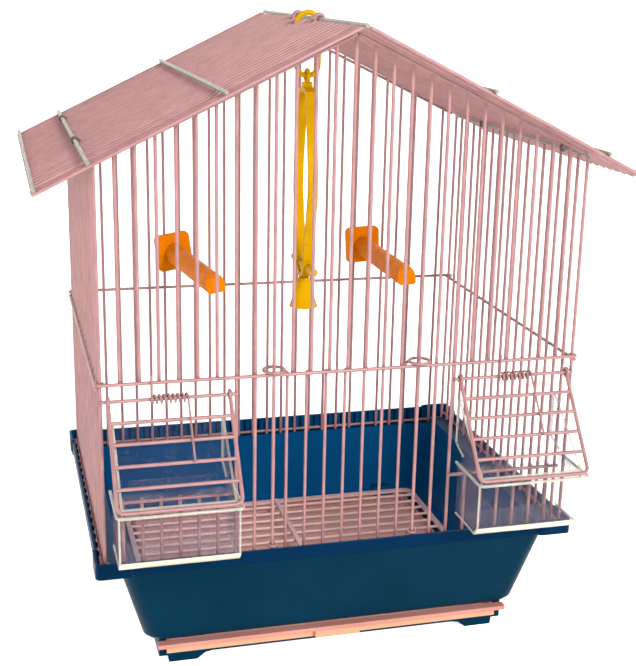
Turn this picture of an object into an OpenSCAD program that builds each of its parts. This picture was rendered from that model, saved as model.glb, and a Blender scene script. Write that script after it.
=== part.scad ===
// Table-top bird cage with a gabled wire roof, on a plastic base with a pull-out tray.
// The origin is on the table under the middle of the cage, +Z is up and -Y is the front.

/* [Wire body] */
// Width between the corner posts
wall_w = 280; // [240:1:320]
// Depth between the corner posts
wall_d = 208; // [180:1:240]
// Height of the side walls above the rim of the base
wall_h = 225.5; // [205:0.5:245]
// Height of the gable's point above the rim of the base
apex_h = 292; // [280:0.5:320]
// Thickness of the structural wire
wire_d = 2; // [1.6:0.1:2.2]
// Spaces between the upright wires of each side
side_spaces = 18; // [16:1:20]
// Height of the middle hoop above the rim
mid_h = 105.6; // [100:0.2:110]

/* [Roof] */
// Half of the roof's width, out to the eave
eave_x = 172; // [165:1:180]
// Roof wires between the front and back walls
roof_wires = 24; // [20:2:28]
// Depth from the cage's centre to the last roof wire
roof_end = 121; // [118:0.5:124]
// Distance between the three wires of each end band
band_pitch = 4.5; // [4:0.1:5]
// Thickness of the grey cross wires
cross_d = 2.2; // [2:0.1:2.4]

/* [Base] */
// Height of the base's rim above the table
rim_z = 75.5; // [70:0.5:90]
// Depth of the channel that the rear wires stand in
channel_h = 11.5; // [10:0.5:14]
// Depth of the channel along the front and the sides
lip_h = 6.5; // [6.5:0.5:7.5]
// Thickness of the base's moulded walls
shell = 2.2; // [1.8:0.1:2.6]
// Height of the flared body's bottom edge above the table
skirt_z = 15.5; // [15:0.5:20]
// Height of the feet
foot_h = 4.6; // [4:0.2:7]

/* [Doors and feeders] */
// Height of the feeder openings' top wire above the rim
hinge_h = 96; // [92:0.5:98]
// Height of the feeder openings' bottom wire above the rim
sill_h = 36; // [34:0.5:38]
// Length of a feeder flap
flap_len = 62.4; // [60:0.2:64]
// Lean of a closed flap from upright
flap_lean = 37.5; // [36:0.5:39]
// Width of a feeder cup
cup_w = 66; // [60:0.5:67]

/* [Perches and swing] */
// Thickness of a perch
perch_d = 12; // [8:0.5:13]
// Length of a perch inside the cage
perch_len = 105; // [80:1:110]
// Height of the perches above the rim
perch_h = 133; // [125:1:160]
// How far the left perch is clamped off square
perch_askew = 7; // [0:1:8]
// Height of the hanging ring
ring_h = 41; // [38:1:46]

/* [Hidden] */
$fn = 32;

// Wire grid
wr = wire_d / 2;
front_spaces = 26;
touch = 0.03;
weld = wire_d - 0.1;
half_w = wall_w / 2;
half_d = wall_d / 2;
front_y = -half_d;
pitch = wall_w / front_spaces;
side_pitch = wall_d / side_spaces;
foot_front = 2.4;
foot_side = 4.9;
foot_rear = 9.5;
wire_bottom = -6;
rear_bottom = -11;
front_out = wire_d + touch;

// Roof
slope = (apex_h - wall_h) / half_w;
rise = atan(slope);
lift = (wire_d + touch) / cos(rise);
roof_gap = 2.5;
leaf_start = 2.4;
cross_lift = lift + (wr + cross_d / 2 + touch) / cos(rise);
ridge_d = 2.4;
ridge_h = apex_h + lift + (wr + ridge_d / 2 + touch) / cos(rise);
field_end = half_d - 4;
roof_pitch = 2 * field_end / (roof_wires - 1);
roof_ys = concat(
  [for (k = [0:2]) -roof_end + k * band_pitch],
  [for (k = [0:roof_wires - 1]) -field_end + k * roof_pitch],
  [for (k = [0:2]) roof_end - k * band_pitch]
);
cross_xs = [73.5, half_w + 4, eave_x - 1];
clip_wr = 0.6;
clips_left = [-32.5, 77.9];
clips_right = [-71.6, 54.4];

// Doors and feeders
left_in = 7;
guide = 9;
guide_x = half_w - guide * pitch;
hinge_y = front_y - wire_d - 0.02;
flap_x = half_w - left_in * pitch / 2;
flap_half = 33.7;
flap_wr = 1.1;
eye_r = wr + 0.08 + flap_wr;
hinge_span = left_in * pitch;
bar_steps = [12.4, 24.6, 37, 49.4];
door_y = front_y + 2.6;
door_wr = 0.9;
door_top = mid_h + wr + 0.5 + door_wr;
door_head = 103.8;
door_low = 0.4;
door_sill = -4.4;
door_eye = 2.2;
door_loop = 6;
spring_wr = 0.6;
spring_r = 2.3;
spring_turns = 8;
spring_len = 20;
cup_back = front_y - 3.3;
cup_front = front_y - 37.5;
cup_low = 11;
cup_top = 45;
cup_wall = 1.6;
cup_lip = front_y - 41.5;
hood_top = 80;
hood_back = front_y + 6;

// Swing
ring_r = 1.6;
ring_major = 6.9;
ring_top = ridge_h + ridge_d / 2 + 0.3 + ring_r;
hook_r = 3.5;
hook_wr = 1.3;
swing_perch_h = 143.5;
swing_perch_d = 5;
swing_low = 136.6;
handle_wr = 1.4;
handle_reach = 42;
handle_lean = 22;
handle_y = 3 * roof_pitch;

// Base
front_reach = -cup_lip;
rear_reach = roof_end + 2.2;
cage_y = (front_reach - rear_reach) / 2;
rim_in = 3.5;
rim_out = 4.9;
cap_out = 6;
body_top = [130.5, 105.5];
body_low = [116.5, 96];
frame_half = [109, 93];
plate_z = foot_h;
slot_z = plate_z + 2.2;
grate_z = skirt_z + 1.6;
grate_half = [110.6, 86];
grate_wires = 14;

function gable(x) = apex_h - slope * abs(x);
function front_x(i) = -half_w + i * pitch;
// The roof wires stand a little off the gables towards the ridge
function leaf_z(x) = gable(x) + lift + roof_gap * (1 - x / eave_x);
function cross_z(x) = leaf_z(x) + cross_lift - lift;

// Everything in the wire body is drawn from the middle of the rim's top face
module on_rim() {
  translate([0, cage_y, rim_z]) children();
}

module rod(a, b, r) {
  v = b - a;
  translate(a)
    rotate([0, acos(v[2] / norm(v)), atan2(v[1], v[0])])
      cylinder(r = r, h = norm(v));
}

module upright(x, y, z0, z1, r = wr) {
  translate([x, y, z0]) cylinder(r = r, h = z1 - z0);
}

module ring_z(r, thick, span = 360) {
  rotate_extrude(angle = span) translate([r, 0]) circle(r = thick);
}

module rounded(half, r, z, h) {
  translate([0, 0, z])
    linear_extrude(h)
      union() {
        square([2 * half[0] - 2 * r, 2 * half[1]], center = true);
        square([2 * half[0], 2 * half[1] - 2 * r], center = true);
        for (sx = [-1, 1], sy = [-1, 1])
          translate([sx * (half[0] - r), sy * (half[1] - r)]) circle(r = r);
      }
}

// ---- Base ----

function between(z) = (z - skirt_z) / (rim_z - channel_h - skirt_z);
function body_at(z, inset) =
  [for (k = [0:1]) body_low[k] + (body_top[k] - body_low[k]) * between(z) - inset];

module flare(z0, z1, inset, r) {
  hull() {
    rounded(body_at(z0, inset + 5), r, z0, 0.1);
    rounded(body_at(z0 + 1.2, inset + 1.6), r, z0 + 1.2, 0.1);
    rounded(body_at(z0 + 4, inset), r, z0 + 4, 0.1);
    rounded(body_at(z1, inset), r, z1 - 0.1, 0.1);
  }
}

module at_caps() {
  for (sx = [-1, 1], sy = [-1, 1])
    translate([sx * (half_w + cap_out - 11), sy * (half_d + cap_out - 11), 0]) children();
}

module feet() {
  inner = frame_half[0] - 23;
  for (sy = [-1, 1])
    translate([0, sy * (frame_half[1] - 11) + 11, 0])
      rotate([90, 0, 0])
        linear_extrude(22)
          for (sx = [-1, 1])
            scale([sx, 1])
              polygon([
                [inner - 9, plate_z],
                [inner - 5, plate_z - 0.8],
                [inner, 0],
                [frame_half[0] - 6, 0],
                [frame_half[0] - 5.4, plate_z]
              ]);
}

// Lugs on the front and rear walls that carry the grate
module grate_lugs() {
  for (sx = [-1, 1], sy = [-1, 1])
    translate([sx * 88, 0, grate_z])
      scale([1, sy, 1])
        along_x(14)
          polygon([
            [83.5, -2.4], [91.5, -2.4], [91.5, -1.4], [93.6, -0.4], [95, 2.4],
            [89.6, 2.4], [88.4, -1.3], [83.5, -1.3]
          ]);
}

module base_tub() {
  ledge_z = rim_z - channel_h;
  lip_z = rim_z - lip_h;
  deep_y = half_d - 8;
  outer = [half_w + rim_out, half_d + rim_out];
  inner = [half_w + rim_in, half_d + rim_in];
  color("#06466a")
    translate([0, cage_y, 0]) {
      grate_lugs();
      difference() {
        union() {
          flare(skirt_z, lip_z, 0, 10);
          rounded(outer, 6, lip_z - 1.2, lip_h + 1.2);
          // the channel is deeper along the rear wall
          intersection() {
            rounded(outer, 6, ledge_z - 2, channel_h);
            translate([0, deep_y + 50, ledge_z]) cube([400, 100, 60], center = true);
          }
          at_caps() rounded([11, 11], 3.5, rim_z - 8.5, 9.5);
          translate([0, 0, (plate_z + skirt_z + 4) / 2])
            cube([2 * frame_half[0], 2 * frame_half[1], skirt_z + 4 - plate_z], center = true);
          feet();
        }
        flare(skirt_z - 0.1, lip_z + 0.1, shell, 8);
        rounded(inner, 2.5, lip_z, lip_h + 5);
        at_caps() rounded([9.5, 9.5], 2, lip_z, lip_h + 5);
        intersection() {
          rounded(inner, 2.5, ledge_z, channel_h);
          translate([0, deep_y + 53, ledge_z]) cube([400, 100, 60], center = true);
        }
        // room for the tray, open at the front
        translate([0, -2, (slot_z + skirt_z + 0.4) / 2])
          cube([2 * frame_half[0] - 5, 2 * frame_half[1], skirt_z + 0.4 - slot_z], center = true);
        translate([0, 0, skirt_z + 2.2])
          cube([2 * frame_half[0] - 8, 2 * frame_half[1] - 8, 5], center = true);
      }
    }
}

tray_half = 104.6;
tray_front = -(frame_half[1] + 0.6);
tray_back = frame_half[1] - 5;
tray_z = slot_z + 0.4;

module litter_tray() {
  lip_z = skirt_z - 3;
  color("#e8b98c")
    translate([0, cage_y, 0])
      difference() {
        union() {
          translate([-tray_half, tray_front - 1.6, tray_z])
            cube([2 * tray_half, tray_back - tray_front + 1.6, lip_z + 1.6 - tray_z]);
          translate([-frame_half[0] - 1, tray_front - 5.6, lip_z])
            cube([2 * frame_half[0] + 2, 5.4, 2.6]);
          // pull tab
          translate([-14, tray_front - 5.6, lip_z - 4.2])
            cube([28, 1.6, 5]);
        }
        translate([-tray_half + 1.8, tray_front + 0.2, tray_z + 1.5])
          cube([2 * tray_half - 3.6, tray_back - tray_front - 2, 20]);
      }
}

module floor_grate() {
  half = grate_half;
  color("#e6a79c")
    translate([0, cage_y, grate_z]) {
      difference() {
        rounded(half, 8, -1, 2);
        rounded([half[0] - 3.4, half[1] - 3.4], 5, -2, 4);
      }
      for (k = [1:grate_wires]) {
        y = half[1] * (2 * k / (grate_wires + 1) - 1);
        rod([-half[0] + 2, y, 0], [half[0] - 2, y, 0], wr);
      }
      translate([1.5, -half[1] + 1.5, wr - 0.5])
        cube([3, 2 * half[1] - 3, 1.5]);
    }
}

// ---- Wire walls ----

// One level wire across the front or back, ending in an eye round each corner post
module eyed_wire(z, side, out = weld) {
  y = side * (half_d + out);
  rod([-half_w + 1, y, z], [half_w - 1, y, z], wr);
  for (sx = [-1, 1])
    translate([sx * half_w, side * half_d, z]) ring_z(wire_d + 0.12, wr);
}

module rakes(side, out = weld, gap = 0) {
  y = side * (half_d + out);
  for (sx = [-1, 1])
    rod([sx * (half_w - 3), y, gable(half_w - 3)], [sx * gap, y, gable(gap)], wr);
}

// Each wire of the front wall and its door is drawn a hair off the wires that it is welded to
module front_panel() {
  last = front_spaces;
  color("#e9a9a0") on_rim() {
    for (i = [1:last - 1]) {
      x = front_x(i);
      short_feeder = i < left_in || i > last - left_in;
      short_door = i > guide && i < last - guide;
      upright(x, front_y, short_feeder || short_door ? mid_h : wire_bottom, gable(x) + 1.5);
      if (short_feeder)
        upright(x, front_y, wire_bottom, sill_h + 0.9);
    }
    eyed_wire(mid_h, -1, front_out);
    eyed_wire(-foot_front, -1, front_out);
    rakes(-1, front_out, 0.5);
    for (sx = [-1, 1])
      rod(
        [sx * (half_w - pitch + 6), -half_d - front_out, sill_h],
        [sx * (half_w - left_in * pitch - 1), -half_d - front_out, sill_h],
        wr
      );
  }
}

module rear_panel() {
  color("#e9a9a0") on_rim() {
    for (i = [1:front_spaces - 1])
      upright(front_x(i), half_d, rear_bottom, gable(front_x(i)) + 1.5);
    eyed_wire(mid_h, 1);
    eyed_wire(-foot_rear, 1);
    rakes(1);
  }
}

module side_panel(side) {
  x = side * half_w;
  color("#e9a9a0") on_rim() {
    for (j = [0:side_spaces]) {
      z0 = j == side_spaces ? rear_bottom : wire_bottom;
      upright(x, front_y + j * side_pitch, z0, wall_h - wr - touch);
    }
    for (z = [mid_h - 2.6, -foot_side])
      rod([x + side * weld, front_y - 0.5, z], [x + side * weld, half_d + 0.5, z], wr);
  }
}

module top_rail(side) {
  color("#a9a294") on_rim()
    rod([side * half_w, front_y - 0.8, wall_h], [side * half_w, half_d + 0.8, wall_h], wr);
}

// ---- Roof ----

module roof_leaf(side) {
  color("#dfa198") on_rim()
    for (y = roof_ys)
      rod(
        [side * leaf_start, y, leaf_z(leaf_start)],
        [side * eave_x, y, leaf_z(eave_x)],
        wr
      );
}

module roof_cross(side) {
  color("#a09a88") on_rim()
    for (x = cross_xs)
      rod(
        [side * x, -roof_end - 2.2, cross_z(x)],
        [side * x, roof_end + 2.2, cross_z(x)],
        cross_d / 2
      );
}

module ridge_wire() {
  color("#a09a88") on_rim()
    rod([0, -roof_end - 2.2, ridge_h], [0, roof_end + 2.2, ridge_h], ridge_d / 2);
}

// One oval wire clip round a top rail and the cross wire beside it
module clip() {
  v = [4, 0, cross_z(half_w + 4) - wall_h];
  r = cross_d / 2 + 0.1 + clip_wr;
  translate([half_w, 0, wall_h])
    rotate([0, -atan2(v[2], v[0]), 0])
      rotate([90, 0, 0]) {
        rotate([0, 0, 90]) ring_z(r, clip_wr, 180);
        translate([norm(v), 0, 0]) rotate([0, 0, -90]) ring_z(r, clip_wr, 180);
        for (s = [-1, 1])
          rod([0, s * r, 0], [norm(v), s * r, 0], clip_wr);
      }
}

module roof_clips() {
  color("#5d5350") on_rim() {
    for (y = clips_left)
      translate([0, y, 0]) mirror([1, 0, 0]) clip();
    for (y = clips_right)
      translate([0, y, 0]) clip();
  }
}

// ---- Doors ----

module sliding_door() {
  end = guide_x - 1;
  drop = guide_x - 6;
  head_end = guide_x - 5.4;
  head_drop = guide_x - 9.6;
  color("#efb5ab") on_rim() {
    for (k = [-3:3])
      upright(k * 11.43, door_y + 2 * door_wr + touch, door_sill - 1.2, door_head + 1.2, door_wr);
    rod([-drop - 0.6, door_y, door_sill], [drop + 0.6, door_y, door_sill], door_wr);
    rod([-head_drop - 0.6, door_y, door_head], [head_drop + 0.6, door_y, door_head], door_wr);
    for (sx = [-1, 1]) {
      rod([sx * end, door_y, door_low], [sx * drop, door_y, door_sill], door_wr);
      rod([sx * head_end, door_y, door_top], [sx * head_drop, door_y, door_head], door_wr);
      translate([sx * guide_x, front_y, door_low]) ring_z(door_eye, door_wr);
      translate([sx * guide_x, front_y, door_top]) ring_z(door_loop, door_wr);
    }
  }
}

module flap_hinge(side) {
  color("#e9a9a0") on_rim()
    rod([side * half_w, hinge_y, hinge_h], [side * (half_w - hinge_span), hinge_y, hinge_h], wr);
}

// The flap's own frame: X along the hinge, -Z down the flap
module at_flap(side) {
  on_rim()
    translate([side * flap_x, hinge_y, hinge_h])
      rotate([-flap_lean, 0, 0]) children();
}

module feeder_flap(side) {
  bend = 4;
  color("#efb5ab") at_flap(side) {
    for (sx = [-1, 1]) {
      translate([sx * flap_half, 0, 0]) rotate([0, 90, 0]) ring_z(eye_r, flap_wr);
      rod([sx * flap_half, 0, -eye_r], [sx * flap_half, 0, -flap_len + bend], flap_wr);
      translate([sx * (flap_half - bend), 0, -flap_len + bend])
        rotate([90, sx > 0 ? 0 : 90, 0])
          mirror([0, 1, 0]) ring_z(bend, flap_wr, 90);
    }
    rod([-flap_half + bend, 0, -flap_len], [flap_half - bend, 0, -flap_len], flap_wr);
    for (s = bar_steps)
      rod([-flap_half, 0, -s], [flap_half, 0, -s], 1);
  }
}

// Torsion spring: one swept wire, down to the coil, round the hinge wire and out over the flap
coil_steps = 14;
coil_angle = 360 * spring_turns - flap_lean;
coil_points = coil_steps * spring_turns;
spring_up = 14;
spring_down = 27;

function coil_point(a) =
  [spring_len * (a / coil_angle - 0.5), -spring_r * cos(a), -spring_r * sin(a)];
function spring_path() = concat(
  [[-spring_len / 2, -spring_r, spring_up]],
  [for (k = [0:coil_points]) coil_point(coil_angle * k / coil_points)],
  [coil_point(coil_angle) + spring_down * [0, -sin(flap_lean), -cos(flap_lean)]]
);
function unit(v) = v / norm(v);
function heading(path, i) =
  unit(path[min(i + 1, len(path) - 1)] - path[max(i - 1, 0)]);

// A wire of hexagonal section along a path that never runs along X
module swept_wire(path, r) {
  sides = 6;
  last = len(path) - 1;
  points = [
    for (i = [0:last])
      let (t = heading(path, i), u = unit(cross(t, [1, 0, 0])), v = cross(t, u))
        for (k = [0:sides - 1]) path[i] + r * (u * cos(60 * k) + v * sin(60 * k))
  ];
  walls = [
    for (i = [0:last - 1], k = [0:sides - 1])
      let (a = i * sides + k, b = i * sides + (k + 1) % sides)
        each [[a, b, b + sides], [a, b + sides, a + sides]]
  ];
  ends = [
    [for (k = [0:sides - 1]) sides - 1 - k],
    [for (k = [0:sides - 1]) last * sides + k]
  ];
  polyhedron(points, concat(walls, ends));
}

module flap_spring(side) {
  color("#d9a79c") on_rim()
    translate([side * flap_x, hinge_y, hinge_h])
      swept_wire(spring_path(), spring_wr);
}

// ---- Feeders ----

module cup_profile(inset) {
  polygon([
    [cup_back - inset, cup_low + inset],
    [cup_front + 4.5 + inset * 0.4, cup_low + inset],
    [cup_front + inset, cup_low + 4.5 + inset * 0.4],
    [cup_front + inset, cup_top + inset * 4],
    [cup_back - inset, cup_top + inset * 4]
  ]);
}

module along_x(w) {
  translate([-w / 2, 0, 0]) rotate([90, 0, 90]) linear_extrude(w) children();
}

module feeder_cup(side) {
  back_h = sill_h + 1.4;
  color([0.9, 0.93, 0.95, 0.45]) on_rim() translate([side * flap_x, 0, 0]) {
    difference() {
      union() {
        along_x(cup_w) cup_profile(0);
        translate([-cup_w / 2 - 1, cup_lip, cup_top - 1.6])
          cube([cup_w + 2, cup_back - cup_lip, 1.6]);
      }
      along_x(cup_w - 2 * cup_wall) cup_profile(cup_wall);
      // the back wall is cut down to the hook
      translate([-cup_w / 2 - 2, cup_back - cup_wall - 0.6, back_h + 1.5])
        cube([cup_w + 4, 4, 20]);
    }
    // hook over the sill wire, with the guard inside the cage
    translate([-cup_w / 2 + 2, cup_back - cup_wall, back_h])
      cube([cup_w - 4, front_y + 2.9 - cup_back + cup_wall, 1.5]);
    translate([-cup_w / 2 + 10, front_y + 1.4, sill_h - 9])
      cube([cup_w - 20, 1.5, 20]);
  }
}

// The hood stands in the cup, slopes up over it and ends just inside the cage
module feeder_hood(side) {
  t = 1.2;
  w = cup_w - 2 * cup_wall - 0.3;
  y0 = cup_back - 2.4;
  y1 = cup_front + cup_wall + 0.15;
  z0 = cup_top - 3;
  color([0.9, 0.93, 0.95, 0.4]) on_rim() translate([side * flap_x, 0, 0])
    difference() {
      along_x(w)
        polygon([
          [y0, z0], [y1, z0], [y1, cup_top + 1.5],
          [hood_back - 2, hood_top], [hood_back, hood_top], [hood_back, cup_top + 8],
          [y0, cup_top + 3.5]
        ]);
      along_x(w - 2 * t)
        polygon([
          [y0 + 1, z0 - 1], [y1 + t, z0 - 1], [y1 + t, cup_top + 1],
          [hood_back - 2 + t * 0.7, hood_top - t], [hood_back + 1, hood_top - t],
          [hood_back + 1, cup_top + 3]
        ]);
    }
}

// ---- Perches ----

module at_perch(side) {
  on_rim()
    translate([side * (half_w - 6.5 * pitch), half_d, perch_h])
      rotate([0, 0, side < 0 ? perch_askew : 0])
        rotate([0, side < 0 ? -8 : -3, 0]) children();
}

// Arched section with a flat underside
module perch_section() {
  r = perch_d / 2;
  circle(r = r);
  translate([-r, -r + 2]) square([2 * r, r - 2]);
  translate([-r + 2, -r]) square([2 * r - 4, 3]);
  for (sx = [-1, 1])
    translate([sx * (r - 2), -r + 2]) circle(r = 2);
}

module perch(side) {
  stand = wr + 0.1 + (side < 0 ? 13 * sin(perch_askew) : 0);
  r = perch_d / 2;
  tip = -perch_len;
  color("#ee7d12") at_perch(side)
    difference() {
      union() {
        translate([0, -stand, 0]) rotate([90, 0, 0]) rounded([12.5, 13], 3.5, 0, 3);
        translate([0, -stand - 2, 0])
          rotate([90, 0, 0]) linear_extrude(perch_len - stand - 2) perch_section();
        translate([0, -stand - 1, 0])
          rotate([-90, 0, 0]) cylinder(d = 5, h = stand + 1 + wr + 7);
      }
      // the end slopes back towards the top
      along_x(20)
        polygon([
          [tip - 2, -r - 1], [tip, -r - 1], [tip + 1, -1], [tip + 3, r * 0.55],
          [tip + 8, r + 0.5], [tip - 2, r + 0.5]
        ]);
    }
}

module perch_nut(side) {
  stand = wr + 0.1 + (side < 0 ? 9 * sin(perch_askew) : 0);
  color("#ee7d12") at_perch(side)
    translate([0, stand, 0])
      rotate([-90, 0, 0])
        difference() {
          union() {
            translate([-9, -9, 0]) cube([18, 18, 2]);
            cylinder(d = 12, h = 4.4);
          }
          translate([0, 0, -1]) cylinder(d = 5.1, h = 10);
        }
}

// ---- Ring, swing and handle ----

ring_up = ring_top - ring_major;
ring_down = ring_top + 2 * ring_r - ring_h + ring_major;

module hanging_ring() {
  color("#eebb1a") on_rim() {
    translate([0, 0, ring_up]) rotate([90, 0, 0]) ring_z(ring_major, ring_r, 180);
    translate([0, 0, ring_down]) rotate([-90, 0, 0]) ring_z(ring_major, ring_r, 180);
    for (sx = [-1, 1])
      upright(sx * ring_major, 0, ring_down, ring_up, ring_r);
  }
}

hook_h = ring_down - ring_major;

// Middle line of one arm, from the hook's stem down to the bell's stem
arm_path = [
  [0, hook_h - hook_r - 4], [8.5, hook_h - hook_r - 6.5], [11, hook_h - 20], [15, hook_h - 38],
  [18, hook_h - 56], [18.5, hook_h - 72], [14, hook_h - 92], [9.5, hook_h - 104],
  [8.5, swing_perch_h], [5.5, swing_low + 2], [0, swing_low]
];
arm_t = 3;
arm_w = 6;

function along(i) = unit(arm_path[i + 1] - arm_path[i]);
function normal(d) = [-d[1], d[0]];
function mitre(i) =
  let (
    before = normal(along(max(i - 1, 0))),
    after = normal(along(min(i, len(arm_path) - 2))),
    m = unit(before + after)
  )
    m * arm_t / 2 / (m * before);
arm_outline = concat(
  [for (i = [0:len(arm_path) - 1]) arm_path[i] + mitre(i)],
  [for (i = [len(arm_path) - 1:-1:0]) arm_path[i] - mitre(i)]
);

module swing_frame() {
  color("#f0c010") on_rim()
    difference() {
      union() {
        translate([0, 0, hook_h]) rotate([0, 90, 0]) ring_z(hook_r, hook_wr);
        along_x(arm_w) {
          for (sy = [-1, 1])
            polygon([for (p = arm_outline) [sy * p[0], p[1]]]);
          translate([-2, hook_h - hook_r - 6]) square([4, 5.9]);
        }
        for (sy = [-1, 1])
          translate([0, sy * 8.5 - 2.5, swing_perch_h])
            rotate([-90, 0, 0]) cylinder(d = swing_perch_d + 3.4, h = 5);
        upright(0, 0, swing_low - 3.6, swing_low, 1.8);
      }
      translate([0, 0, swing_perch_h])
        rotate([90, 0, 0]) cylinder(d = swing_perch_d + 0.1, h = 60, center = true);
    }
}

module swing_perch() {
  color("#e8b818") on_rim()
    translate([0, 0, swing_perch_h])
      rotate([90, 0, 0]) cylinder(d = swing_perch_d, h = 50, center = true);
}

bell_top = swing_low - 1.6;
bell_len = 19;

module swing_bell() {
  z = bell_top - bell_len;
  color("#f0c010") on_rim()
    difference() {
      translate([0, 0, z])
        rotate_extrude()
          polygon([
            [0, bell_len], [3.4, bell_len], [4.4, bell_len - 2], [5.2, bell_len - 7],
            [6.6, bell_len - 12], [8.6, 1.8], [9.2, 0],
            [7.8, 0], [7.1, 1.8], [5, bell_len - 12], [3.8, bell_len - 7], [3.2, bell_len - 4],
            [0, bell_len - 3.4]
          ]);
      upright(0, 0, z, bell_top + 1, 1.85);
    }
}

module carry_handle() {
  y = handle_y;
  eye_wr = handle_wr - 0.1;
  eye = ridge_d / 2 + 0.08 + eye_wr;
  color("#efb0a8") on_rim()
    translate([0, 0, ridge_h]) rotate([0, handle_lean, 0]) {
      for (sy = [-1, 1]) {
        translate([0, sy * y, 0]) rotate([90, 0, 0]) ring_z(eye, eye_wr);
        rod([eye, sy * y, 0], [handle_reach + 1.2, sy * y, 0], handle_wr);
      }
      rod([handle_reach, -y, 0], [handle_reach, y, 0], handle_wr - 0.1);
    }
}

base_tub();
litter_tray();
floor_grate();
front_panel();
rear_panel();
side_panel(-1);  // left_panel
side_panel(1);  // right_panel
top_rail(-1);  // top_rail_left
top_rail(1);  // top_rail_right
roof_leaf(-1);  // roof_left
roof_leaf(1);  // roof_right
roof_cross(-1);  // roof_cross_left
roof_cross(1);  // roof_cross_right
ridge_wire();
roof_clips();
sliding_door();
flap_hinge(-1);  // flap_hinge_left
flap_hinge(1);  // flap_hinge_right
feeder_flap(-1);  // feeder_flap_left
feeder_flap(1);  // feeder_flap_right
flap_spring(-1);  // flap_spring_left
flap_spring(1);  // flap_spring_right
feeder_cup(-1);  // feeder_cup_left
feeder_cup(1);  // feeder_cup_right
feeder_hood(-1);  // feeder_hood_left
feeder_hood(1);  // feeder_hood_right
perch(-1);  // perch_left
perch(1);  // perch_right
perch_nut(-1);  // perch_nut_left
perch_nut(1);  // perch_nut_right
hanging_ring();
swing_frame();
swing_perch();
swing_bell();
carry_handle();
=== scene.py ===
import math

import bmesh
import bpy
from mathutils import Matrix, Vector


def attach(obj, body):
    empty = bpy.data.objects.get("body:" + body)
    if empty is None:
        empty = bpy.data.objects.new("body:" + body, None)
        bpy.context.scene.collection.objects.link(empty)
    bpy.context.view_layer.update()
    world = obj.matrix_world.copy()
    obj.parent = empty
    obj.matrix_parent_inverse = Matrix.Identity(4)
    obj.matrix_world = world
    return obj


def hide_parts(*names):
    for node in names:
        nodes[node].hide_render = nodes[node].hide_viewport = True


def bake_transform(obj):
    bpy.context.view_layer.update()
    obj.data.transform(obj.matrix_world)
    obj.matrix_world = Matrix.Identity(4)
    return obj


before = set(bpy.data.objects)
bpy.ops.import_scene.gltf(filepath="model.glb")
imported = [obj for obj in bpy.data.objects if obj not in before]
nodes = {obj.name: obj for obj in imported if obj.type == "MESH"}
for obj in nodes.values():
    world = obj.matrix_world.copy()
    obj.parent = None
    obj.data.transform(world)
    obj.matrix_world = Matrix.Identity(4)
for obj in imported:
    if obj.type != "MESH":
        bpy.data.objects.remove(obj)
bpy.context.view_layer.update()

# ---- The frame's own measures, in metres ----

RIM = 0.0755
CAGE_Y = 0.01115
HALF_W = 0.140
HALF_D = 0.104
FRONT_SPACES, SIDE_SPACES = 26, 18
PITCH = 2 * HALF_W / FRONT_SPACES
SIDE_PITCH = 2 * HALF_D / SIDE_SPACES
SLOPE = 0.475
APEX = 0.292
FLAP_X = 0.1023077
HINGE_Y = -HALF_D - 0.00202
HINGE_Z = 0.096
FLAP_LEAN = math.radians(37.5)


def at(x, y, z):
    """A point given from the middle of the rim's top face."""
    return Vector((x, y + CAGE_Y, z + RIM))


# ---- Materials ----


def linear(hex_colour):
    """Linear RGBA from a six-digit sRGB colour."""
    out = []
    for k in (0, 2, 4):
        c = int(hex_colour[k : k + 2], 16) / 255
        out.append(c / 12.92 if c <= 0.04045 else ((c + 0.055) / 1.055) ** 2.4)
    return (*out, 1.0)


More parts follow.
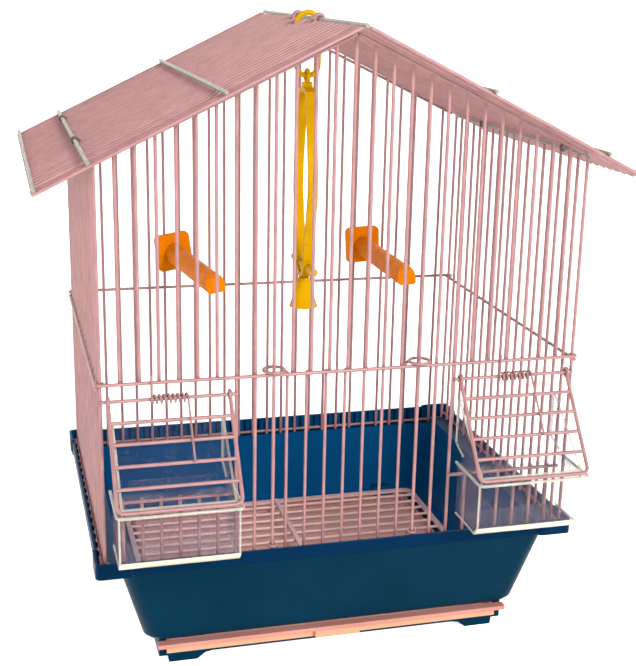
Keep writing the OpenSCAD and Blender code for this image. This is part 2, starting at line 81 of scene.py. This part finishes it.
class Look:
    """A node material on a Principled shader, textured in the object's own metres."""

    def __init__(self, name, roughness=0.4, metallic=0.0, coat=0.0, coat_roughness=0.1, ior=1.5):
        self.mat = bpy.data.materials.new(name)
        self.mat.use_nodes = True
        self.tree = self.mat.node_tree
        self.shader = self.tree.nodes["Principled BSDF"]
        self.shader.inputs["Roughness"].default_value = roughness
        self.shader.inputs["Metallic"].default_value = metallic
        self.shader.inputs["Coat Weight"].default_value = coat
        self.shader.inputs["Coat Roughness"].default_value = coat_roughness
        self.shader.inputs["IOR"].default_value = ior
        self.coords = self.tree.nodes.new("ShaderNodeTexCoord").outputs["Object"]

    def node(self, kind, **values):
        n = self.tree.nodes.new(kind)
        for key, value in values.items():
            setattr(n, key, value)
        return n

    def link(self, a, b):
        self.tree.links.new(a, b)

    def stretched(self, x, y, z):
        m = self.node("ShaderNodeMapping")
        m.inputs["Scale"].default_value = (x, y, z)
        self.link(self.coords, m.inputs["Vector"])
        return m.outputs["Vector"]

    def noise(self, scale, detail=3.0, rough=0.5, vector=None):
        n = self.node("ShaderNodeTexNoise")
        n.inputs["Scale"].default_value = scale
        n.inputs["Detail"].default_value = detail
        n.inputs["Roughness"].default_value = rough
        self.link(vector or self.coords, n.inputs["Vector"])
        return n.outputs["Fac"]

    def spread(self, fac, low, high, to_low=0.0, to_high=1.0):
        n = self.node("ShaderNodeMapRange")
        n.inputs["From Min"].default_value = low
        n.inputs["From Max"].default_value = high
        n.inputs["To Min"].default_value = to_low
        n.inputs["To Max"].default_value = to_high
        self.link(fac, n.inputs["Value"])
        return n.outputs["Result"]

    def mix(self, fac, a, b):
        n = self.node("ShaderNodeMix", data_type="RGBA")
        for socket, value in ((n.inputs[6], a), (n.inputs[7], b)):
            if isinstance(value, tuple):
                socket.default_value = value
            else:
                self.link(value, socket)
        self.link(fac, n.inputs[0])
        return n.outputs[2]

    def colour(self, out):
        self.link(out, self.shader.inputs["Base Color"])

    def rough(self, fac, low, high):
        self.link(self.spread(fac, 0.3, 0.7, low, high), self.shader.inputs["Roughness"])

    def bump(self, height, distance, strength=1.0):
        n = self.node("ShaderNodeBump")
        n.inputs["Strength"].default_value = strength
        n.inputs["Distance"].default_value = distance
        self.link(height, n.inputs["Height"])
        self.link(n.outputs["Normal"], self.shader.inputs["Normal"])

    def parts_of(self, vector):
        """The outputs X, Y and Z of a vector."""
        n = self.node("ShaderNodeSeparateXYZ")
        self.link(vector, n.inputs["Vector"])
        return n.outputs

    def maths(self, operation, *values):
        """A maths node; each value is a float or another node's output."""
        n = self.node("ShaderNodeMath", operation=operation)
        for socket, value in zip(n.inputs, values):
            if isinstance(value, float):
                socket.default_value = value
            else:
                self.link(value, socket)
        return n.outputs["Value"]

    def blotches(self, scale, detail, light, dark):
        """Two near colours in soft patches."""
        return self.mix(self.noise(scale, detail), linear(light), linear(dark))


def powder_coat(name, light, dark):
    """Coated wire: fine patches of two shades and a slight grain."""
    look = Look(name, roughness=0.42, coat=0.12, coat_roughness=0.3)
    patches = look.noise(90, 4, 0.6)
    look.colour(look.mix(look.spread(patches, 0.3, 0.7), linear(light), linear(dark)))
    look.rough(look.noise(400, 2), 0.36, 0.52)
    look.bump(look.noise(1300, 2, 0.6), 0.00006, 0.5)
    return look.mat


def moulded(name, light, dark, low, high, grain=0.00002, patch=22, sheen=None, gloss=0.05):
    """Moulded plastic. low and high bound its roughness, and sheen tints its highlights."""
    look = Look(name)
    look.shader.inputs["Specular IOR Level"].default_value = gloss
    look.shader.inputs["Specular Tint"].default_value = linear(sheen or light)
    patches = look.noise(patch, 3, 0.55)
    look.colour(look.mix(look.spread(patches, 0.3, 0.7), linear(light), linear(dark)))
    look.rough(look.noise(160, 4, 0.6), low, high)
    look.bump(look.noise(900, 2, 0.5), grain, 0.4)
    return look


def base_colour(look):
    return look.shader.inputs["Base Color"].links[0].from_socket


pink_wire = powder_coat("powder_coat_pink", "946A69", "82595B")
grey_wire = powder_coat("powder_coat_grey", "7E776A", "6A6459")
spring_wire = powder_coat("powder_coat_spring", "946A69", "7B5555")
# Weld beads darker than the wire: partly the welds' own darker metal, partly painted shade where the
# wires cross.
weld_tone_and_shade = powder_coat("weld_beads", "7A5450", "4E322F")
grate_wire = powder_coat("grate_coat", "CBABAA", "BE9C9C")


def clip_steel():
    look = Look("blackened_steel", metallic=0.8, roughness=0.4)
    look.colour(look.blotches(260, 3, "6A5F5A", "3B3330"))
    look.rough(look.noise(500, 3), 0.3, 0.55)
    look.bump(look.noise(1500, 2), 0.00004)
    return look.mat


RIM_LOW = 0.0680
INSIDE_Y = 0.1086
LIP_LOW = 0.0124
TRAY_FRONT = -0.0824
EDGE = 0.0001


def base_look():
    """Blue plastic: a navy rim band, a teal body and, on the faces that look in, a clearer, brighter
    blue painted as light coming through the plastic.
    """
    look = moulded("base_blue", "002537", "001F2F", 0.34, 0.46, sheen="006CB0", gloss=0.08)
    body = base_colour(look)
    height = look.parts_of(look.coords)["Z"]
    band = look.blotches(30, 3, "03213C", "021B34")
    outside = look.mix(look.spread(height, RIM_LOW - 2 * EDGE, RIM_LOW), body, band)
    centred = look.node("ShaderNodeMapping")
    centred.inputs["Location"].default_value = (0, -CAGE_Y, 0)
    centred.inputs["Scale"].default_value = (1, 1, 0)
    look.link(look.coords, centred.inputs["Vector"])
    inward = look.node("ShaderNodeVectorMath", operation="DOT_PRODUCT")
    look.link(centred.outputs["Vector"], inward.inputs[0])
    look.link(look.node("ShaderNodeNewGeometry").outputs["True Normal"], inward.inputs[1])
    facing_in = look.spread(inward.outputs["Value"], 0.005, -0.005)
    far = look.maths("ABSOLUTE", look.parts_of(centred.outputs["Vector"])["Y"])
    within = look.spread(far, INSIDE_Y + 4 * EDGE, INSIDE_Y)
    # Painted light: the faces that look in get a brighter blue, standing for light shining through the
    # plastic.
    painted_light_inside = look.blotches(18, 3, "054270", "043A62")
    look.colour(look.mix(look.maths("MULTIPLY", facing_in, within), outside, painted_light_inside))
    return look.mat


def tray_look():
    """Salmon plastic, cream on the front wall under the lip and paler on the floor."""
    look = moulded("tray_salmon", "AC796E", "9F6C62", 0.36, 0.5, gloss=0.12)
    place = look.parts_of(look.coords)
    cream = look.blotches(25, 3, "B78B70", "AD8064")
    floor = look.blotches(25, 3, "CFA49D", "C2968E")
    low = look.mix(look.spread(place["Y"], TRAY_FRONT, TRAY_FRONT + EDGE), cream, floor)
    under_lip = look.spread(place["Z"], LIP_LOW, LIP_LOW - EDGE)
    look.colour(look.mix(under_lip, base_colour(look), low))
    return look.mat


def clear_look(name, alpha_low, alpha_high, light, dark, highlight_streak_alpha):
    """Clear moulded plastic: hardly seen face on, milky on edge, with curled streaks of painted
    highlight.
    """
    look = Look(name, roughness=0.06, ior=1.49)
    look.colour(look.blotches(60, 3, light, dark))
    look.rough(look.noise(90, 4), 0.04, 0.14)
    weight = look.node("ShaderNodeLayerWeight")
    weight.inputs["Blend"].default_value = 0.35
    edge = look.spread(weight.outputs["Facing"], 0.22, 1.0, alpha_low, alpha_high)
    # Painted highlights: thin curled streaks where the plastic turns more opaque, standing for bright
    # glints.
    highlight_curls = look.noise(95, 1.5, 0.5, look.stretched(1.0, 1.0, 0.45))
    off_ridge = look.maths("ABSOLUTE", look.maths("SUBTRACT", highlight_curls, 0.52))
    painted_highlight_streaks = look.spread(off_ridge, 0.012, 0.0, 0.0, highlight_streak_alpha)
    look.link(look.maths("ADD", edge, painted_highlight_streaks), look.shader.inputs["Alpha"])
    look.bump(look.noise(70, 2), 0.0004, 0.15)
    return look.mat


base_blue = base_look()
rim_blue = moulded("base_rim", "03213C", "021B34", 0.3, 0.42, sheen="006CB0", gloss=0.08).mat
tray_salmon = tray_look()
clear_wall = clear_look("clear_plastic", 0.035, 0.5, "756E7E", "5F596C", 0.15)
# Edge tubes: thicker moulded edges, paler and more opaque than the walls as a painted highlight.
clear_edge_highlight = clear_look("clear_plastic_edge_highlight", 0.45, 0.8, "C9C3B4", "B1AA9E", 0.2)
cup_foot = clear_look("clear_plastic_foot", 0.8, 0.9, "CFC9B6", "BBB5A0", 0.1)
orange = moulded("perch_orange", "C46C08", "B45D04", 0.4, 0.55, 0.00003, 60).mat
yellow = moulded("swing_yellow", "B98C06", "A97B03", 0.36, 0.5, 0.00003, 60, gloss=0.07).mat
steel = clip_steel()


SHARP = math.radians(32)
MOULDED_CORNER = math.radians(40)


def dress(node, material, edge=0.0):
    """Give a CAD node its material, smooth shading and, with edge, rounded moulded edges."""
    data = nodes[node].data
    data.materials.clear()
    data.materials.append(material)
    for polygon in data.polygons:
        polygon.use_smooth = True
    edges = data.attributes.get("sharp_edge") or data.attributes.new("sharp_edge", "BOOLEAN", "EDGE")
    bm = bmesh.new()
    bm.from_mesh(data)
    for i, e in enumerate(bm.edges):
        edges.data[i].value = len(e.link_faces) == 2 and e.calc_face_angle(0) > SHARP
    bm.free()
    if edge:
        rounding = nodes[node].modifiers.new("moulded_edges", "BEVEL")
        rounding.width = edge
        rounding.segments = 2
        rounding.limit_method = "ANGLE"
        rounding.angle_limit = MOULDED_CORNER
        rounding.harden_normals = True


LOOKS = {
    "base_tub": (base_blue, 0.0004),
    "litter_tray": (tray_salmon, 0.0003),
    "floor_grate": (grate_wire, 0.0),
    "roof_clips": (steel, 0.0),
    "swing_frame": (yellow, 0.0005),
    "swing_perch": (yellow, 0.0005),
    "swing_bell": (yellow, 0.0),
    "hanging_ring": (yellow, 0.0),
}
for name in nodes:
    if name in LOOKS:
        dress(name, *LOOKS[name])
    elif name.startswith(("feeder_cup", "feeder_hood")):
        dress(name, clear_wall, 0.0003)
    elif name.startswith("perch"):
        dress(name, orange, 0.0006)
    elif name.startswith(("top_rail", "roof_cross", "ridge_wire")):
        dress(name, grey_wire)
    else:
        dress(name, pink_wire)

# ---- Mesh helpers ----


def finish_mesh(name, bm, material, body, smooth=40):
    """Turn bm into a smooth-shaded piece that rides on body; corners over smooth degrees stay sharp."""
    data = bpy.data.meshes.new(name)
    bmesh.ops.recalc_face_normals(bm, faces=bm.faces)
    for f in bm.faces:
        f.smooth = True
    for e in bm.edges:
        e.smooth = e.calc_face_angle(0) < math.radians(smooth)
    bm.to_mesh(data)
    bm.free()
    data.materials.append(material)
    piece = bpy.data.objects.new(name, data)
    bpy.context.scene.collection.objects.link(piece)
    if body:
        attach(piece, body)
    return piece


def add_tube(bm, path, radius, sides=12, up=Vector((0, 0, 1))):
    """A round tube along a path, closed at both ends."""
    rings = []
    u = None
    for i, p in enumerate(path):
        t = (path[min(i + 1, len(path) - 1)] - path[max(i - 1, 0)]).normalized()
        if u is None:
            u = t.cross(up)
        u = (u - t * u.dot(t)).normalized()
        v = t.cross(u)
        rings.append([
            bm.verts.new(p + radius * (u * math.cos(k) + v * math.sin(k)))
            for k in (2 * math.pi * s / sides for s in range(sides))
        ])
    for lower, upper in zip(rings, rings[1:]):
        for s in range(sides):
            n = (s + 1) % sides
            bm.faces.new((lower[s], lower[n], upper[n], upper[s]))
    bm.faces.new(list(reversed(rings[0])))
    bm.faces.new(rings[-1])


# ---- Torsion springs ----

COIL_R, SPRING_R, TURNS, SPRING_LEN = 0.0023, 0.0006, 8, 0.020
UP_LEG, DOWN_LEG = 0.014, 0.0385


def spring(side, label):
    """One wire: down to the coil, round the hinge wire and on down the flap."""
    centre = at(side * FLAP_X, HINGE_Y, HINGE_Z)
    full = 2 * math.pi * TURNS - FLAP_LEAN
    steps = TURNS * 24

    def coil(a):
        along = SPRING_LEN * (a / full - 0.5)
        return centre + Vector((along, -COIL_R * math.cos(a), -COIL_R * math.sin(a)))

    start = centre + Vector((-SPRING_LEN / 2, -COIL_R, UP_LEG))
    path = [start + Vector((0, 0.0002, 0.0))]
    path += [start.lerp(coil(0), k / 5) for k in range(1, 5)]
    path += [coil(full * k / steps) for k in range(steps + 1)]
    down = Vector((0, -math.sin(FLAP_LEAN), -math.cos(FLAP_LEAN)))
    path += [coil(full) + down * DOWN_LEG * k / 6 for k in range(1, 7)]
    bm = bmesh.new()
    add_tube(bm, path, SPRING_R, 10)
    piece = finish_mesh(f"torsion_spring_{label}", bm, spring_wire, None)
    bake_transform(piece)
    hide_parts(f"flap_spring_{label}")


spring(-1, "left")
spring(1, "right")


# ---- Ribs inside the base's rim ----

SHALLOW, DEEP = -0.0062, -0.0112
CAP_X, CAP_Y = 0.1245, 0.0885
CHANNEL_OUT = 0.0035
RIB_TOP, RIB_CHAMFER = -0.0006, 0.0012
FRONT_RIB, SIDE_RIB = (0.0009, 0.0014), (0.0007, 0.0018)


def rib_section(along_x):
    """Corners of a rib seen from above: (along the wall, out of it)."""
    ends = ((-1, 0), (-0.6, 1), (0.6, 1), (1, 0))
    return [(a, 0, b) if along_x else (0, a, b) for a, b in ends]


def rim_ribs():
    """Small upright ribs on the inner faces of the rim's channel, one between each two wires."""
    bm = bmesh.new()
    inner = (HALF_W + CHANNEL_OUT, HALF_D + CHANNEL_OUT)

    def rib(x, y, along_x, low):
        half, deep = FRONT_RIB if along_x else SIDE_RIB
        sx, sy = (0, math.copysign(1, y)) if along_x else (math.copysign(1, x), 0)
        base = at(x, y, 0)
        rings = []
        for z, bite in ((low, 1.0), (RIB_TOP - RIB_CHAMFER, 1.0), (RIB_TOP, 0.15)):
            out = deep * bite
            rings.append([
                bm.verts.new(base + Vector((a * half - sx * b * out, c * half - sy * b * out, z)))
                for a, c, b in rib_section(along_x)
            ])
        for lower, upper in zip(rings, rings[1:]):
            for k in range(4):
                n = (k + 1) % 4
                bm.faces.new((lower[k], lower[n], upper[n], upper[k]))
        bm.faces.new(rings[-1])
        bm.faces.new(list(reversed(rings[0])))

    for sy in (-1, 1):
        for i in range(FRONT_SPACES):
            x = -HALF_W + (i + 0.5) * PITCH
            if abs(x) < CAP_X:
                rib(x, sy * inner[1], True, DEEP if sy > 0 else SHALLOW)
    for sx in (-1, 1):
        for j in range(SIDE_SPACES):
            y = -HALF_D + (j + 0.5) * SIDE_PITCH
            if abs(y) < CAP_Y:
                rib(sx * inner[0], y, False, SHALLOW)
    piece = finish_mesh("rim_ribs", bm, rim_blue, "base")


rim_ribs()

# ---- Weld beads where wires cross ----

MID_H, SIDE_MID = 0.1056, 0.1030
SIDE_FOOT, REAR_FOOT, SILL = -0.0049, -0.0095, 0.036
WELD, ROOF_WELD = 0.00095, 0.0011
BEAD, ROOF_BEAD = 0.0009, 0.00099
FEEDER_WIRES = 7
ROOF_END, BAND, FIELD_END, ROOF_WIRES = 0.121, 0.0045, 0.100, 24
RISE = math.atan(SLOPE)
LEAF_LIFT = 0.00203 / math.cos(RISE)
ROOF_GAP, EAVE_X = 0.0025, 0.172
CROSS_XS = (0.0735, 0.144, 0.171)
ROOF_YS = [s * (ROOF_END - k * BAND) for s in (-1, 1) for k in range(3)]
ROOF_YS += [FIELD_END * (2 * k / (ROOF_WIRES - 1) - 1) for k in range(ROOF_WIRES)]


def gable(x):
    return APEX - SLOPE * abs(x)


def leaf_z(x):
    """Height of a roof wire's middle line, which stands off the gable, most at the ridge."""
    return gable(x) + LEAF_LIFT + ROOF_GAP * (1 - abs(x) / EAVE_X)


def add_bead(bm, centre, radius):
    """One drop of metal."""
    sides, rows = 8, 5
    rings = []
    for r in range(1, rows):
        a = math.pi * r / rows
        rings.append([
            bm.verts.new(centre + radius * Vector((
                math.sin(a) * math.cos(b), math.sin(a) * math.sin(b), math.cos(a)
            )))
            for b in (2 * math.pi * k / sides for k in range(sides))
        ])
    top = bm.verts.new(centre + Vector((0, 0, radius)))
    low = bm.verts.new(centre - Vector((0, 0, radius)))
    for k in range(sides):
        n = (k + 1) % sides
        bm.faces.new((top, rings[0][k], rings[0][n]))
        bm.faces.new((low, rings[-1][n], rings[-1][k]))
        for upper, lower in zip(rings, rings[1:]):
            bm.faces.new((upper[k], lower[k], lower[n], upper[n]))


def weld_beads():
    """Beads where the walls' wires cross, and where the roof's cross wires meet its leaves."""
    walls = bmesh.new()
    for i in range(1, FRONT_SPACES):
        x = -HALF_W + i * PITCH
        for sy in (-1, 1):
            y = sy * (HALF_D + WELD)
            add_bead(walls, at(x, y, MID_H), BEAD)
            add_bead(walls, at(x, y, gable(x)), BEAD)
        add_bead(walls, at(x, HALF_D + WELD, REAR_FOOT), BEAD)
        if i < FEEDER_WIRES or i > FRONT_SPACES - FEEDER_WIRES:
            add_bead(walls, at(x, -HALF_D - WELD, SILL), BEAD)
    for j in range(SIDE_SPACES + 1):
        y = -HALF_D + j * SIDE_PITCH
        for sx in (-1, 1):
            for z in (SIDE_MID, SIDE_FOOT):
                add_bead(walls, at(sx * (HALF_W + WELD), y, z), BEAD)
    # The wall beads carry painted shade at the crossings as well as the welds' darker metal.
    piece = finish_mesh("weld_beads_walls", walls, weld_tone_and_shade, "cage", 180)
    roof = bmesh.new()
    for y in ROOF_YS:
        for x in CROSS_XS:
            for sx in (-1, 1):
                add_bead(roof, at(sx * x, y, leaf_z(x) + ROOF_WELD), ROOF_BEAD)
    piece = finish_mesh("weld_beads_roof", roof, grey_wire, "cage", 180)


weld_beads()

# ---- Moulded edges of the feeders, painted paler as highlights ----

CUP_BACK, CUP_FRONT, CUP_LIP = -HALF_D - 0.0033, -HALF_D - 0.0375, -HALF_D - 0.0415
CUP_LOW, CUP_TOP, CUP_HALF = 0.011, 0.045, 0.033
CHAMFER = 0.0045
HOOD_HALF, HOOD_TOP = 0.03125, 0.080
HOOD_BACK, HOOD_FRONT = -HALF_D + 0.006, -HALF_D - 0.03575
INSET = 0.0003
LIP_BEAD, CUP_BEAD, HOOD_BEAD = 0.0009, 0.0006, 0.0007
ACROSS = Vector((1, 0, 0))


def add_prism(bm, profile, x0, x1):
    """A profile in (y, z) drawn out along X."""
    ends = [[bm.verts.new(at(x, y, z)) for y, z in profile] for x in (x0, x1)]
    count = len(profile)
    for k in range(count):
        n = (k + 1) % count
        bm.faces.new((ends[0][k], ends[0][n], ends[1][n], ends[1][k]))
    bm.faces.new(ends[0])
    bm.faces.new(list(reversed(ends[1])))


def feeder_edges(side, label):
    """The thicker edges of one cup and its hood, made milkier and paler as painted highlights, and the
    cup's cream foot.
    """
    x = side * FLAP_X
    cup = bmesh.new()
    lip_z = CUP_TOP - 0.0008
    rim = [
        (-0.034, CUP_BACK), (-0.034, CUP_LIP + 0.002),
        (-0.0332, CUP_LIP + 0.0006), (-0.032, CUP_LIP),
    ]
    rim += [(-a, b) for a, b in reversed(rim)]
    add_tube(cup, [at(x + a, b, lip_z) for a, b in rim], LIP_BEAD, 10)
    for sx in (-1, 1):
        a = x + sx * (CUP_HALF - INSET)
        add_tube(cup, [
            at(a, CUP_BACK, CUP_LOW + INSET), at(a, CUP_FRONT + CHAMFER, CUP_LOW + INSET),
            at(a, CUP_FRONT + INSET, CUP_LOW + CHAMFER), at(a, CUP_FRONT + INSET, CUP_TOP - 0.0016),
        ], CUP_BEAD, 8, ACROSS)
    piece = finish_mesh(f"cup_edge_{label}", cup, clear_edge_highlight, "cage")

    foot = bmesh.new()
    add_prism(foot, [
        (CUP_FRONT + 0.0062, CUP_LOW - 0.0001), (CUP_FRONT + 0.0044, CUP_LOW - 0.0002),
        (CUP_FRONT + 0.0030, CUP_LOW + 0.0009), (CUP_FRONT + 0.0009, CUP_LOW + 0.0030),
        (CUP_FRONT - 0.0002, CUP_LOW + 0.0044), (CUP_FRONT - 0.0001, CUP_LOW + 0.0052),
        (CUP_FRONT + 0.0012, CUP_LOW + 0.0048), (CUP_FRONT + 0.0052, CUP_LOW + 0.0012),
    ], x - CUP_HALF - 0.0001, x + CUP_HALF + 0.0001)
    piece = finish_mesh(f"cup_foot_{label}", foot, cup_foot, "cage", 30)

    hood = bmesh.new()
    for sx in (-1, 1):
        a = x + sx * (HOOD_HALF - INSET)
        add_tube(hood, [
            at(a, HOOD_FRONT, CUP_TOP - 0.003), at(a, HOOD_FRONT, CUP_TOP + 0.0015),
            at(a, HOOD_BACK - 0.002, HOOD_TOP - INSET), at(a, HOOD_BACK, HOOD_TOP - INSET),
            at(a, HOOD_BACK, CUP_TOP + 0.008), at(a, CUP_BACK - 0.0024, CUP_TOP + 0.0035),
        ], HOOD_BEAD, 8, ACROSS)
    for y, z in ((HOOD_FRONT, CUP_TOP + 0.0015), (HOOD_BACK, HOOD_TOP - INSET)):
        add_tube(hood, [at(x - HOOD_HALF, y, z), at(x + HOOD_HALF, y, z)], HOOD_BEAD, 8)
    piece = finish_mesh(f"hood_edge_{label}", hood, clear_edge_highlight, "cage")


feeder_edges(-1, "left")
feeder_edges(1, "right")

# ---- Stage, lights and camera ----

FLOOR_GLOW = 0.7
FLAT_R, COVE_R, BACKDROP_TOP = 2.6, 1.2, 3.4
CAGE_MIDDLE = Vector((0, 0, 0.19))


def studio():
    """A pale round floor that curves up into a backdrop."""
    look = Look("studio_floor", roughness=0.9)
    look.shader.inputs["Specular IOR Level"].default_value = 0.1
    look.shader.inputs["Emission Color"].default_value = (1, 1, 1, 1)
    look.shader.inputs["Emission Strength"].default_value = FLOOR_GLOW
    look.colour(look.mix(look.noise(2.0, 2), linear("F7F6F4"), linear("F3F2F0")))
    bm = bmesh.new()
    profile = [(1.2, 0.0), (FLAT_R, 0.0)]
    for k in range(1, 13):
        a = math.pi / 2 * k / 12
        profile.append((FLAT_R + COVE_R * math.sin(a), COVE_R - COVE_R * math.cos(a)))
    profile.append((FLAT_R + COVE_R, BACKDROP_TOP))
    turns = 96
    angles = [2 * math.pi * k / turns for k in range(turns)]
    centre = bm.verts.new((0, 0, 0))
    rows = [[bm.verts.new((r * math.cos(a), r * math.sin(a), z)) for a in angles] for r, z in profile]
    for k in range(turns):
        bm.faces.new((centre, rows[0][k], rows[0][(k + 1) % turns]))
    for lower, upper in zip(rows, rows[1:]):
        for k in range(turns):
            n = (k + 1) % turns
            bm.faces.new((lower[k], upper[k], upper[n], lower[n]))
    floor = finish_mesh("studio_floor", bm, look.mat, None, 80)


def area_light(name, place, size, power, colour=(1, 1, 1)):
    data = bpy.data.lights.new(name, "AREA")
    data.shape = "DISK"
    data.size = size
    data.energy = power
    data.color = colour
    lamp = bpy.data.objects.new(name, data)
    lamp.location = place
    lamp.rotation_euler = (CAGE_MIDDLE - Vector(place)).to_track_quat("-Z", "Y").to_euler()
    bpy.context.scene.collection.objects.link(lamp)


studio()
area_light("key", (0.55, -2.1, 1.25), 0.4, 60, (1.0, 0.98, 0.96))
area_light("fill", (-1.7, -1.2, 0.9), 1.4, 1)
area_light("top", (-0.2, 0.6, 2.1), 1.2, 8)

world = bpy.data.worlds.new("studio_air")
world.use_nodes = True
air = world.node_tree.nodes["Background"]
air.inputs["Color"].default_value = (0.95, 0.97, 1.0, 1)
air.inputs["Strength"].default_value = 0.1
bpy.context.scene.world = world

camera = bpy.data.cameras.new("photo_camera")
camera.lens = 65.9
camera.sensor_width = 36
camera.clip_start = 0.05
camera.clip_end = 30
eye = bpy.data.objects.new("photo_camera", camera)
right = Vector((0.9664, -0.2564, 0.0201)).normalized()
up = Vector((0.0527, 0.2737, 0.9604))
up = (up - right * up.dot(right)).normalized()
turned = Matrix((right, up, right.cross(up))).transposed().to_4x4()
eye.matrix_world = Matrix.Translation((-0.1904, -0.7278, 0.3941)) @ turned
bpy.context.scene.collection.objects.link(eye)
bpy.context.scene.camera = eye
bpy.context.scene.view_settings.view_transform = "Standard"
